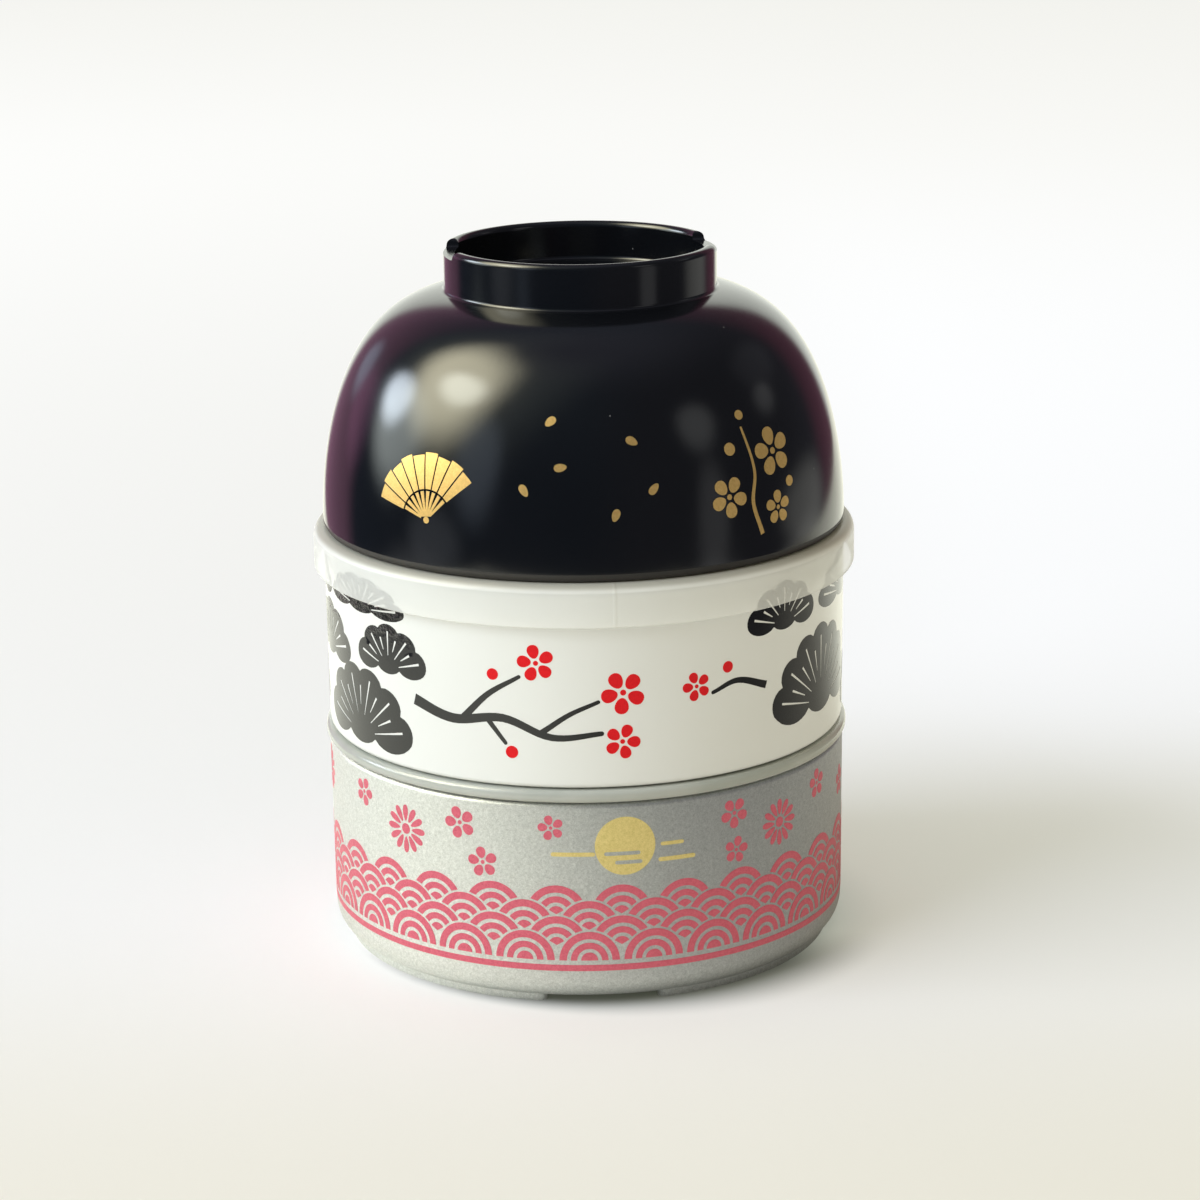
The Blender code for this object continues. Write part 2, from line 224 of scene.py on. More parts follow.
def rounded(corners):
    """A section from (radius, height, rounding) corners; each rounding becomes an arc."""
    points = []
    for index, (x, y, size) in enumerate(corners):
        here = Vector((x, y))
        if not size:
            points.append((x, y))
            continue
        before = Vector(corners[index - 1][:2]) - here
        after = Vector(corners[index + 1][:2]) - here
        half = before.angle(after) / 2
        reach = min(size / math.tan(half), 0.49 * before.length, 0.49 * after.length)
        radius = reach * math.tan(half)
        start = here + before.normalized() * reach
        end = here + after.normalized() * reach
        bisector = (before.normalized() + after.normalized()).normalized()
        centre = here + bisector * radius / math.sin(half)
        first = math.atan2(start.y - centre.y, start.x - centre.x)
        last = math.atan2(end.y - centre.y, end.x - centre.x)
        sweep = (last - first + math.pi) % (2 * math.pi) - math.pi
        count = max(2, math.ceil(abs(sweep) / ARC_STEP))
        for step in range(count + 1):
            angle = first + sweep * step / count
            points.append((centre.x + radius * math.cos(angle), centre.y + radius * math.sin(angle)))
    return points


def arc(centre_x, centre_y, radius, start, end, count):
    """Points along an arc, its ends included; angles in radians."""
    result = []
    for index in range(count):
        angle = start + (end - start) * index / (count - 1)
        result.append((centre_x + radius * math.cos(angle), centre_y + radius * math.sin(angle)))
    return result


def flat_curve(name, outlines, thickness):
    """A 2D curve of closed outlines, filled even-odd and thickened about its plane."""
    curve = bpy.data.curves.new(name, "CURVE")
    curve.dimensions = "2D"
    curve.fill_mode = "BOTH"
    curve.extrude = thickness / 2
    for outline in outlines:
        spline = curve.splines.new("POLY")
        spline.points.add(len(outline) - 1)
        for point, (x, y) in zip(spline.points, outline):
            point.co = (x, y, 0.0, 1.0)
        spline.use_cyclic_u = True
    return added_object(name, curve)


def combine(target, tool, operation):
    """Adds a tool to the target, or cuts it out, and removes the tool."""
    name = target.name
    material = target.data.materials[0]
    boolean = target.modifiers.new("combine", "BOOLEAN")
    boolean.operation = operation
    boolean.solver = "EXACT"
    boolean.object = tool
    target.name = name + "_before"
    result = finished(taken(target), name, material)
    bpy.data.objects.remove(tool, do_unlink=True)
    return result


# Node helpers

class Tree:
    """Adds nodes to a material or world, and joins them."""

    def __init__(self, owner):
        owner.use_nodes = True
        self.nodes = owner.node_tree.nodes
        self.links = owner.node_tree.links
        self.shader = self.nodes.get("Principled BSDF")

    def add(self, kind, **settings):
        node = self.nodes.new("ShaderNode" + kind)
        for key, value in settings.items():
            setattr(node, key, value)
        return node

    def put(self, socket, value):
        """Links an output to a socket, or sets the socket's own value."""
        if isinstance(value, bpy.types.NodeSocket):
            self.links.new(value, socket)
        else:
            socket.default_value = value

    def dress(self, values):
        """Sets or links inputs of the material's own shader, by their names."""
        for name, value in values.items():
            self.put(self.shader.inputs[name], value)

    def math(self, operation, first, second=0.0):
        node = self.add("Math", operation=operation)
        for socket, value in zip(node.inputs, (first, second)):
            self.put(socket, value)
        return node.outputs[0]

    def times(self, first, second):
        return self.math("MULTIPLY", first, second)

    def plus(self, first, second):
        return self.math("ADD", first, second)

    def minus(self, first, second):
        return self.math("SUBTRACT", first, second)

    def length(self, x, y):
        return self.math("SQRT", self.plus(self.times(x, x), self.times(y, y)))

    def bearing(self, x, y):
        """The angle of a point round Z, in radians: 0 at the front, growing towards +X."""
        return self.math("ARCTAN2", x, self.times(y, -1.0))

    def ramp(self, value, low, high, to_low=0.0, to_high=1.0, kind="SMOOTHSTEP"):
        """Maps a value from low..high to to_low..to_high, and holds it beyond."""
        node = self.add("MapRange", interpolation_type=kind)
        for socket, given in zip(node.inputs, (value, low, high, to_low, to_high)):
            self.put(socket, given)
        return node.outputs[0]

    def mix(self, factor, first, second, blend="MIX"):
        node = self.add("Mix", data_type="RGBA", blend_type=blend)
        self.put(node.inputs[0], factor)
        self.put(node.inputs[6], first)
        self.put(node.inputs[7], second)
        return node.outputs[2]

    def place(self):
        """The point in the part's own frame, in metres."""
        return self.add("TexCoord").outputs["Object"]

    def split(self, vector):
        node = self.add("SeparateXYZ")
        self.put(node.inputs[0], vector)
        return node.outputs[0], node.outputs[1], node.outputs[2]

    def noise(self, scale, detail=2.0, roughness=0.5):
        node = self.add("TexNoise")
        self.put(node.inputs["Vector"], self.place())
        node.inputs["Scale"].default_value = scale
        node.inputs["Detail"].default_value = detail
        node.inputs["Roughness"].default_value = roughness
        return node.outputs["Fac"]

    def cells(self, scale):
        """Distance to the nearest random cell centre, and that cell's random value."""
        node = self.add("TexVoronoi")
        self.put(node.inputs["Vector"], self.place())
        node.inputs["Scale"].default_value = scale
        value = self.add("SeparateColor")
        self.put(value.inputs[0], node.outputs["Color"])
        return node.outputs["Distance"], value.outputs[0]

    def bump(self, height, distance, strength, normal=None):
        node = self.add("Bump")
        self.put(node.inputs["Height"], height)
        self.put(node.inputs["Strength"], strength)
        node.inputs["Distance"].default_value = distance
        if normal:
            self.put(node.inputs["Normal"], normal)
        return node.outputs[0]


def colour(red, green, blue):
    return (red, green, blue, 1.0)


def surface(name):
    """A new material, and the tree that holds its shader."""
    material = bpy.data.materials.new(name)
    return material, Tree(material)


def specks(tree, spacing, size, share):
    """1 on a few small round specks, and 0 elsewhere; spacing and size in metres."""
    distance, chance = tree.cells(1 / spacing)
    near = tree.math("LESS_THAN", distance, size / spacing)
    picked = tree.math("GREATER_THAN", chance, 1 - share)
    return tree.times(near, picked)


# Materials

def black_gloss():
    """Polished black plastic with a few dust specks and faint unevenness, matt along the mouth, where its
    lighter colour is a painted reflection.
    """
    material, tree = surface("black_gloss")
    height = tree.split(tree.place())[2]
    band = BOWL_MOUTH + MOUTH_BAND
    # Painted reflection: the band along the mouth is a lighter brown-grey, standing in for the lid reflected
    # in it; the band is also rougher
    mouth_band_painted_reflection = tree.ramp(height, band - 0.0001, band, 1.0, 0.0)
    dust = specks(tree, 0.006, 0.00016, 0.22)
    body = tree.mix(dust, colour(0.004, 0.0045, 0.006), colour(0.16, 0.16, 0.16))
    polish = tree.ramp(tree.noise(45, 4), 0.3, 0.7, 0.12, 0.16)
    ripple = tree.bump(tree.noise(900, 2), 0.000012, 0.35)
    tree.dress({
        "Base Color": tree.mix(mouth_band_painted_reflection, body, colour(0.03, 0.027, 0.025)),
        "Roughness": tree.plus(polish, tree.times(mouth_band_painted_reflection, 0.4)),
        "Normal": tree.bump(tree.noise(70, 2), 0.00012, 0.25, ripple),
    })
    return material


def white_gloss():
    """Glossy white plastic, faintly mottled."""
    material, tree = surface("white_gloss")
    mottle = tree.ramp(tree.noise(30, 2), 0.3, 0.7)
    tree.dress({
        "Base Color": tree.mix(mottle, colour(0.84, 0.845, 0.818), colour(0.85, 0.855, 0.832)),
        "Roughness": tree.ramp(tree.noise(60, 3), 0.3, 0.7, 0.22, 0.26),
        "Normal": tree.bump(tree.noise(800, 2), 0.00001, 0.4),
    })
    return material


def milky_lid():
    """Translucent soft plastic with a knit line, where the flow met in the mould, and a part clear skirt."""
    material, tree = surface("milky_lid")
    x, y, z = tree.split(tree.place())
    off = tree.math("ABSOLUTE", tree.minus(tree.bearing(x, y), KNIT_TURN))
    knit = tree.ramp(off, *KNIT_EDGES, 1.0, 0.0)
    cloud = tree.ramp(tree.noise(55, 4), 0.3, 0.7)
    body = tree.mix(cloud, colour(0.96, 0.965, 0.93), colour(0.98, 0.985, 0.955))
    body = tree.mix(tree.times(knit, 0.6), body, colour(0.93, 0.93, 0.88))

    # Painted shade: the flat top is darker, most of all under the bowl's mouth, where the bowl shades it
    radius = tree.length(x, y)
    painted_shadow_under_mouth = tree.ramp(radius, BOWL_INSIDE - 0.006, BOWL_INSIDE - 0.002)
    top = tree.mix(painted_shadow_under_mouth, colour(0.70, 0.69, 0.63), colour(0.48, 0.465, 0.41))
    roof = tree.ramp(z, UPPER_RIM, UPPER_RIM + LID_WALL)

    # What is behind the skirt shows through it: its outer face is part clear, and its inner face is clear
    middle = UPPER_LID_BOX[1].x - SKIRT_WALL / 2
    skirt = tree.ramp(radius, middle - 0.0001, middle + 0.0001, 0.0, SKIRT_COVER)
    inner = tree.ramp(radius, TIER_RADIUS - 0.001, TIER_RADIUS, 1.0, 0.0)
    upper = tree.ramp(z, UPPER_RIM - 0.0012, UPPER_RIM + 0.0008)
    grain = tree.bump(tree.noise(1400, 3), 0.00002, 0.5)
    tree.dress({
        "Base Color": tree.mix(roof, body, top),
        "Roughness": 0.38,
        "Transmission Weight": 0.05,
        "Specular IOR Level": 0.3,
        "IOR": 1.5,
        "Alpha": tree.math("MAXIMUM", skirt, tree.math("MAXIMUM", inner, upper)),
        "Normal": tree.bump(knit, 0.00008, 0.6, grain),
    })
    return material


def clear_lid():
    """Translucent grey-green soft plastic."""
    material, tree = surface("clear_lid")
    cloud = tree.ramp(tree.noise(70, 4), 0.3, 0.7)
    tree.dress({
        "Base Color": tree.mix(cloud, colour(0.59, 0.615, 0.56), colour(0.69, 0.705, 0.65)),
        "Roughness": 0.18,
        "Transmission Weight": 0.3,
        "IOR": 1.5,
        "Normal": tree.bump(tree.noise(1200, 3), 0.00002, 0.5),
    })
    return material


def flakes(tree):
    """Fine uneven sparkle of metallic paint, from 0 to 1."""
    both = tree.plus(tree.times(tree.noise(4200, 3, 0.7), 0.65), tree.times(tree.noise(1500, 2, 0.6), 0.35))
    return tree.ramp(both, 0.32, 0.68, kind="LINEAR")


def silver_paint():
    """Silver metallic paint, with a grain of small flakes."""
    material, tree = surface("silver_paint")
    grain = flakes(tree)
    tree.dress({
        "Base Color": tree.mix(grain, colour(0.42, 0.43, 0.425), colour(0.685, 0.695, 0.685)),
        "Metallic": 0.8,
        "Roughness": tree.ramp(grain, 0.0, 1.0, 0.64, 0.52, "LINEAR"),
        "Normal": tree.bump(grain, 0.00002, 0.5),
    })
    return material


def black_print():
    """Black print film; near the lid it is pebbled on one side, as where moisture beaded on it."""
    material, tree = surface("black_print")
    x, y, z = tree.split(tree.place())
    off = tree.math("ABSOLUTE", tree.minus(tree.bearing(x, y), WET_TURN))
    edge = tree.times(tree.noise(140, 2), 0.008)
    wet = tree.times(tree.ramp(off, *WET_EDGES, 1.0, 0.0), tree.ramp(tree.plus(z, edge), *WET_HEIGHTS))
    beads = tree.ramp(tree.noise(1100, 2, 0.6), 0.42, 0.62)
    fine = tree.bump(tree.noise(1500, 2), 0.00001, 0.4)
    tree.dress({
        "Base Color": tree.mix(wet, colour(0.006, 0.006, 0.007), colour(0.003, 0.003, 0.004)),
        "Roughness": 0.17,
        "Specular IOR Level": tree.ramp(wet, 0.0, 1.0, 0.5, 0.25, "LINEAR"),
        "Normal": tree.bump(beads, 0.00025, wet, fine),
    })
    return material


def print_film(name, dark, light, roughness, metallic=0.0):
    """A print film whose colour and gloss carry a fine grain."""
    material, tree = surface(name)
    grain = flakes(tree)
    tree.dress({
        "Base Color": tree.mix(grain, dark, light),
        "Metallic": metallic,
        "Roughness": tree.ramp(grain, 0.0, 1.0, roughness + 0.05, roughness - 0.05, "LINEAR"),
        "Specular IOR Level": 0.25,
        "Normal": tree.bump(grain, 0.00001, 0.4),
    })
    return material


# Tiers

def tier_section(base, rim, rim_radius, lower_edge):
    """Section of a tier; lower_edge holds the points of its outer lower edge, from the wall inwards."""
    corners = [
        (0.0, base + TIER_FLOOR, 0),
        (TIER_INSIDE - TIER_DRAFT, base + TIER_FLOOR, FLOOR_FILLET),
        (TIER_INSIDE, rim, RIM_INNER_ROUND),
        (rim_radius, rim, RIM_OUTER_ROUND),
    ]
    if rim_radius > TIER_RADIUS:
        corners.append((rim_radius, rim - TIER_BEAD_HEIGHT, SMALL_ROUND))
        corners.append((TIER_RADIUS, rim - TIER_BEAD_HEIGHT - BEAD_SLOPE, TIER_BEAD_ROUND))
    corners += [(*point, 0) for point in lower_edge]
    corners.append((0.0, base, 0))
    return rounded(corners)


def foot_outline(radius, start, end):
    """Outline of one curved foot bar with round ends, between two angles that its tips reach."""
    half = FOOT_WIDTH / 2
    middle = radius - half
    tip = half / middle
    first = start + tip
    last = end - tip

    def cap(at, facing):
        return arc(middle * math.cos(at), middle * math.sin(at), half, facing, facing + math.pi, 11)[1:-1]

    outside = arc(0.0, 0.0, radius, first, last, FOOT_ARC_POINTS)
    inside = arc(0.0, 0.0, radius - FOOT_WIDTH, last, first, FOOT_ARC_POINTS)
    return outside + cap(last, last) + inside + cap(first, first + math.pi)


def with_foot(tier, radius, underside):
    """Adds the two foot bars under a tier, with drain gaps that face front and back."""
    front = math.radians(-90) + FOOT_GAP_TURN
    height = FOOT_HEIGHT + FOOT_SINK
    material = tier.data.materials[0]
    for number in range(2):
        start = front + FOOT_GAP_ANGLE / 2 + number * math.pi
        outline = foot_outline(radius, start, start + math.pi - FOOT_GAP_ANGLE)
        foot = flat_curve("foot_outline", [outline], height)
        foot.location.z = underside + height / 2
        foot = finished(taken(foot), "foot_bar", material)
        edge = foot.modifiers.new("Edge", "BEVEL")
        edge.width = FOOT_EDGE
        edge.segments = 3
        edge.limit_method = "ANGLE"
        edge.angle_limit = math.radians(60)
        tier = combine(tier, finished(taken(foot), "foot_bar_rounded", material), "UNION")
    return tier


def make_lower_tier():
    base = LOWER_TIER_BOX[0].z + FOOT_HEIGHT
    centre = TIER_RADIUS - TIER_DRAFT - LOWER_EDGE_RADIUS
    centre_z = base + LOWER_EDGE_RADIUS * math.sin(LOWER_EDGE_SWEEP)
    edge = arc(centre, centre_z, LOWER_EDGE_RADIUS, 0, -LOWER_EDGE_SWEEP, 9)
    tier = turned("silver_tier", tier_section(base, LOWER_RIM, TIER_RADIUS, edge), silver_paint())
    tier = with_foot(tier, LOWER_BASE_RADIUS - LOWER_FOOT_INSET, LOWER_TIER_BOX[0].z)
    settle(tier, "lower_tier", replaces="lower_tier")


def make_upper_tier():
    base = UPPER_TIER_BOX[0].z + FOOT_HEIGHT
    centre = TIER_RADIUS - TIER_DRAFT - UPPER_EDGE_RADIUS
    edge = arc(centre, base + UPPER_EDGE_RADIUS, UPPER_EDGE_RADIUS, 0, -math.pi / 2, 7)
    section = tier_section(base, UPPER_RIM, UPPER_TIER_BOX[1].x, edge)
    tier = turned("white_tier", section, white_gloss())
    tier = with_foot(tier, PLUG_INSIDE - FOOT_CLEARANCE, UPPER_TIER_BOX[0].z)
    settle(tier, "upper_tier", replaces="upper_tier")


# Lids

def panel(height):
    """One face of a lid's panel with its sunk middle, from the axis outwards."""
    return [
        (0.0, height - PANEL_STEP, 0),
        (PANEL_STEP_RADIUS - PANEL_STEP_SLOPE, height - PANEL_STEP, PANEL_ROUND),
        (PANEL_STEP_RADIUS, height, PANEL_ROUND),
    ]


def plug(bottom):
    """The lower end of a plug wall, from its outer face round to its inner face."""
    return [
        (PLUG_RADIUS, bottom + PLUG_LEAD, SMALL_ROUND),
        (PLUG_RADIUS - PLUG_LEAD, bottom, SMALL_ROUND),
        (PLUG_INSIDE, bottom, SMALL_ROUND),
    ]


def make_lower_lid():
    bottom = LOWER_LID_BOX[0].z
    top = LOWER_LID_BOX[1].z
    bead = LOWER_LID_BOX[1].x
    seat = LOWER_RIM + SEAT_GAP
    panel_top = top - FOOT_HEIGHT
    corners = panel(panel_top)
    corners += [
        (PLUG_INSIDE, panel_top, LID_CORNER),
        (PLUG_INSIDE, top, LID_CORNER),
        (bead, top, RIM_BEAD_ROUND),
        (bead, seat, RIM_BEAD_ROUND),
        (PLUG_RADIUS, seat, SMALL_ROUND),
    ]
    corners += plug(bottom)
    corners.append((PLUG_INSIDE, panel_top - LID_WALL, LID_CORNER))
    corners += panel(panel_top - LID_WALL)[::-1]
    lid = turned("inner_lid", rounded(corners), clear_lid())
    settle(lid, "lower_lid", replaces="lower_lid")


def make_upper_lid():
    skirt_bottom = UPPER_LID_BOX[0].z
    skirt = UPPER_LID_BOX[1].x
    skirt_inside = skirt - SKIRT_WALL
    ring_top = UPPER_LID_BOX[1].z
    seat = UPPER_RIM + SEAT_GAP
    roof = seat + LID_WALL
    panel_top = roof - UPPER_PANEL_DROP
    ring = BOWL_INSIDE - RING_CLEARANCE
    bead = UPPER_TIER_BOX[1].x + SNAP_CLEARANCE
    bead_z = UPPER_RIM - LID_BEAD_DROP
    half = LID_BEAD_HEIGHT / 2
    corners = panel(panel_top)
    corners += [
        (ring - LID_WALL, panel_top, LID_CORNER),
        (ring - LID_WALL, ring_top, LID_CORNER),
        (ring, ring_top, LID_CORNER),
        (ring, roof, SMALL_ROUND),
        (skirt, roof, SHOULDER_RADIUS),
        (skirt, skirt_bottom, SKIRT_EDGE),
        (skirt_inside, skirt_bottom, SMALL_ROUND),
        (skirt_inside, bead_z - half - BEAD_SLOPE, SMALL_ROUND),
        (bead, bead_z - half, SMALL_ROUND),
        (bead, bead_z + half, SMALL_ROUND),
        (skirt_inside, bead_z + half + BEAD_SLOPE, SMALL_ROUND),
        (skirt_inside, seat, SHOULDER_RADIUS - LID_WALL),
        (PLUG_RADIUS, seat, SMALL_ROUND),
    ]
    corners += plug(UPPER_RIM - (LOWER_RIM - LOWER_LID_BOX[0].z))
    corners.append((PLUG_INSIDE, panel_top - LID_WALL, LID_CORNER))
    corners += panel(panel_top - LID_WALL)[::-1]
    lid = turned("press_on_lid", rounded(corners), milky_lid())
    settle(lid, "upper_lid", replaces="upper_lid")


# Soup bowl

def dome(radius, height, angle):
    """The bowl's rounded outline at one angle: 0 is at the mouth, 90 degrees is at the axis."""
    side = max(math.cos(angle), 0.0) ** (2 / DOME_SIDE_POWER)
    rise = math.sin(angle) ** (2 / DOME_TOP_POWER)
    return radius * side, height * rise


def bowl_section():
    """Section of the bowl upside down."""
    belt = BOWL_MOUTH + BOWL_BELT
    base = belt + DOME_HEIGHT
    ring_inside = RING_RADIUS - RING_WALL
    lip_round = RING_WALL / 2
    flare_end = math.acos(((RING_RADIUS + RING_FILLET) / BOWL_RADIUS) ** (DOME_SIDE_POWER / 2))
    flare_z = belt + dome(BOWL_RADIUS, DOME_HEIGHT, flare_end)[1]

    section = [(0.0, base)]
    section += arc(ring_inside - RING_FILLET, base + RING_FILLET, RING_FILLET, -math.pi / 2, 0, 6)
    section += arc(ring_inside + lip_round, BOWL_LIP - lip_round, lip_round, math.pi, 0, 13)
    section += arc(
        RING_RADIUS + RING_FILLET, flare_z + RING_FILLET, RING_FILLET, math.pi, 1.5 * math.pi, 6)[:-1]
    for index in range(DOME_OUTER_POINTS):
        angle = flare_end * (1 - index / DOME_OUTER_POINTS)
        radius, height = dome(BOWL_RADIUS, DOME_HEIGHT, angle)
        section.append((radius, belt + height))
    section += rounded([
        (BOWL_RADIUS, belt, 0),
        (BOWL_RADIUS, BOWL_MOUTH + MOUTH_CHAMFER, BELT_ROUND),
        (BOWL_RADIUS - MOUTH_CHAMFER / 2, BOWL_MOUTH, MOUTH_ROUND),
        (BOWL_INSIDE, BOWL_MOUTH, MOUTH_ROUND),
        (BOWL_INSIDE, belt, 0),
    ])
    for index in range(1, DOME_INNER_POINTS):
        angle = math.pi / 2 * index / DOME_INNER_POINTS
        radius, height = dome(BOWL_INSIDE, DOME_HEIGHT - BOWL_WALL, angle)
        section.append((radius, belt + height))
    section.append((0.0, base - BOWL_WALL))
    return section


def notch_outline():
    """Outline of a drain notch seen from the side, with the lip's top at y 0."""
    half = NOTCH_WIDTH / 2
    side = [(half + NOTCH_ROUND, CUTTER_MARGIN)]
    side += arc(half + NOTCH_ROUND, -NOTCH_ROUND, NOTCH_ROUND, math.pi / 2, math.pi, 7)
    side += arc(half - NOTCH_ROUND, NOTCH_ROUND - NOTCH_DEPTH, NOTCH_ROUND, 0, -math.pi / 2, 7)[1:]
    return side + [(-x, y) for x, y in reversed(side)]


def make_soup_bowl():
    material = black_gloss()
    bowl = turned("bowl", bowl_section(), material)
    length = RING_WALL + 2 * CUTTER_MARGIN
    reach = RING_RADIUS - RING_WALL / 2
    for number in range(2):
        turn = NOTCH_TURN + number * math.pi
        notch = flat_curve("notch", [notch_outline()], length)
        notch.rotation_euler = (math.pi / 2, 0.0, turn + math.pi / 2)
        notch.location = (reach * math.cos(turn), reach * math.sin(turn), BOWL_LIP)
        bowl = combine(bowl, finished(taken(notch), "notch_cutter", material), "DIFFERENCE")
    settle(bowl, "soup_bowl", replaces="soup_bowl")


# Print outlines: flat, in millimetres

def moved(outline, x, y, turn=0.0):
    """An outline turned by degrees and moved to a place."""
    cos = math.cos(math.radians(turn))
    sin = math.sin(math.radians(turn))
    return [(x + cos * across - sin * up, y + sin * across + cos * up) for across, up in outline]


def disc(radius, count=24):
    return arc(0.0, 0.0, radius, 0.0, 2 * math.pi * (1 - 1 / count), count)


def berry(size):
    """A round bud."""
    return [disc(size)]


def petal(near, far, half_width, swell, count=20):
    """A rounded petal on the y axis; swell above 0 makes its far end the wider one."""
    middle = (near + far) / 2
    reach = (far - near) / 2
    outline = []
    for index in range(count):
        angle = 2 * math.pi * index / count
        wide = half_width * math.sin(angle) * (1 + swell * math.cos(angle))
        outline.append((wide, middle + reach * math.cos(angle)))
    return outline


def plum(size):
    """A plum blossom: five round petals about a small centre."""
    blossom = [moved(petal(0.24 * size, 0.96 * size, 0.3 * size, 0.18), 0, 0, 72 * n) for n in range(5)]
    return blossom + [disc(0.13 * size)]


def chrysanthemum(size):
    """A chrysanthemum seen from above: narrow petals about a round centre."""
    flower = [moved(petal(0.32 * size, size, 0.13 * size, 0.35), 0, 0, 30 * n) for n in range(12)]
    return flower + [disc(0.22 * size)]


def folding_fan(size, spread, blades):
    """An open folding fan: paper in folds, ribs below it, and the pivot; size is its radius."""
    step = math.radians(spread) / blades
    first = math.pi / 2 - math.radians(spread) / 2
    inner = 0.46 * size
    gap = 0.16
    shapes = [disc(0.05 * size)]
    for index in range(blades):
        start = first + index * step
        end = start + step
        crest = size * (1.0 if index % 2 else 0.965)
        paper = arc(0.0, 0.0, crest, start + gap / crest, end - gap / crest, 6)
        paper += arc(0.0, 0.0, inner, end - gap / inner, start + gap / inner, 6)
        shapes.append(paper)
        middle = (start + end) / 2
        rib = [(-0.22, 0.1 * size), (0.22, 0.1 * size), (0.4, 0.43 * size), (-0.4, 0.43 * size)]
        shapes.append(moved(rib, 0, 0, math.degrees(middle) - 90))
    return shapes


def pine(width, height, lobes):
    """A clump of pine: a scalloped half-round with bare needle lines that fan out from below."""
    half = width / 2
    outline = []
    count = lobes * 8
    for index in range(count + 1):
        angle = math.pi * index / count
        reach = 0.9 + 0.1 * abs(math.sin(lobes * angle)) ** 0.7
        outline.append((half * reach * math.cos(angle), height * reach * math.sin(angle)))
    for index in range(1, 24):
        share = index / 24
        dip = 0.12 * height * abs(math.sin(3 * math.pi * share)) ** 0.7
        outline.append((0.9 * half * (2 * share - 1), -dip))
    shapes = [outline]
    for index in range(1, 2 * lobes):
        angle = math.pi * index / (2 * lobes)
        end = 0.84 if index % 2 else 0.7
        start = 0.3 if index % 2 else 0.42
        near = Vector((half * start * math.cos(angle), height * start * math.sin(angle)))
        far = Vector((half * end * math.cos(angle), height * end * math.sin(angle)))
        side = (far - near).orthogonal().normalized()
        corners = (near - side * 0.1, far - side * 0.26, far + side * 0.26, near + side * 0.1)
        shapes.append([tuple(corner) for corner in corners])
    return shapes


def branch(*knots):
    """A branch through (x, y, thickness) knots, smooth and with a round tip."""
    knots = [Vector(knot) for knot in knots]
    ends = [2 * knots[0] - knots[1], *knots, 2 * knots[-1] - knots[-2]]
    line = []
    for index in range(1, len(ends) - 2):
        a, b, c, d = ends[index - 1:index + 3]
        for step in range(8):
            t = step / 8
            line.append((2 * b + (c - a) * t + (2 * a - 5 * b + 4 * c - d) * t ** 2
                         + (3 * b - a - 3 * c + d) * t ** 3) / 2)
    line.append(ends[-2])
    left = []
    right = []
    for index, point in enumerate(line):
        along = line[min(index + 1, len(line) - 1)] - line[max(index - 1, 0)]
        side = along.xy.orthogonal().normalized() * point.z / 2
        left.append(tuple(point.xy + side))
        right.append(tuple(point.xy - side))
    tip = line[-1]
    facing = (line[-1] - line[-2]).xy
    angle = math.atan2(facing.y, facing.x)
    end = arc(tip.x, tip.y, tip.z / 2, angle - math.pi / 2, angle + math.pi / 2, 7)[1:-1]
    return right + end + left[::-1]


def wave_band(size, outer, inner, lowest):
    """One band of a wave scale, from a share of the scale's radius to another."""
    # The row below covers the rest: its scales are one radius aside and half a radius down
    def start(share):
        if lowest:
            return 0.0
        return math.atan(2) - math.asin(min(1.0, (share + 0.25 / share) / math.sqrt(5)))
    first = start(outer)
    band = arc(0.0, 0.0, outer * size, first, math.pi - first, 22)
    if inner:
        second = start(inner)
        return band + arc(0.0, 0.0, inner * size, math.pi - second, second, 16)
    return band if lowest else band + [(0.0, 0.0)]


def waves(count, rows, foot):
    """Overlapping rows of half-round wave scales that go all the way round the tier."""
    pitch = 2 * math.pi * TIER_RADIUS / MM / count
    size = pitch / 2
    shapes = []
    for row in range(rows):
        for index in range(count):
            x = (index - count / 2 + 0.5 * (row % 2)) * pitch
            y = foot + row * size / 2
            for outer, inner in ((0.93, 0.7), (0.58, 0.38), (0.26, 0.0)):
                shapes.append(moved(wave_band(size, outer, inner, row == 0), x, y))
    return shapes


def bar(length, height):
    """A bar with round ends, about its middle."""
    radius = height / 2
    reach = length / 2 - radius
    return (arc(reach, 0.0, radius, -math.pi / 2, math.pi / 2, 8)
            + arc(-reach, 0.0, radius, math.pi / 2, 1.5 * math.pi, 8))


def placed(shapes, x, y, turn=0.0):
    return [moved(shape, x, y, turn) for shape in shapes]


def strewn(*places):
    """Shapes from (drawing, size, x, y, turn) places."""
    return [shape for draw, size, x, y, turn in places for shape in placed(draw(size), x, y, turn)]


# Films

def tier_wall(base):
    """Where a point of a print lies on a tier's wall, which is a little narrower at its base."""
    def place(x, y, out):
        angle = x * MM / TIER_RADIUS
        share = min(1.0, max(0.0, (UPPER_RIM - LOWER_RIM - (y * MM - base)) / (UPPER_RIM - LOWER_RIM)))
        radius = TIER_RADIUS - TIER_DRAFT * share + out * MM
        return Vector((radius * math.sin(angle), -radius * math.cos(angle), y * MM))
    return place


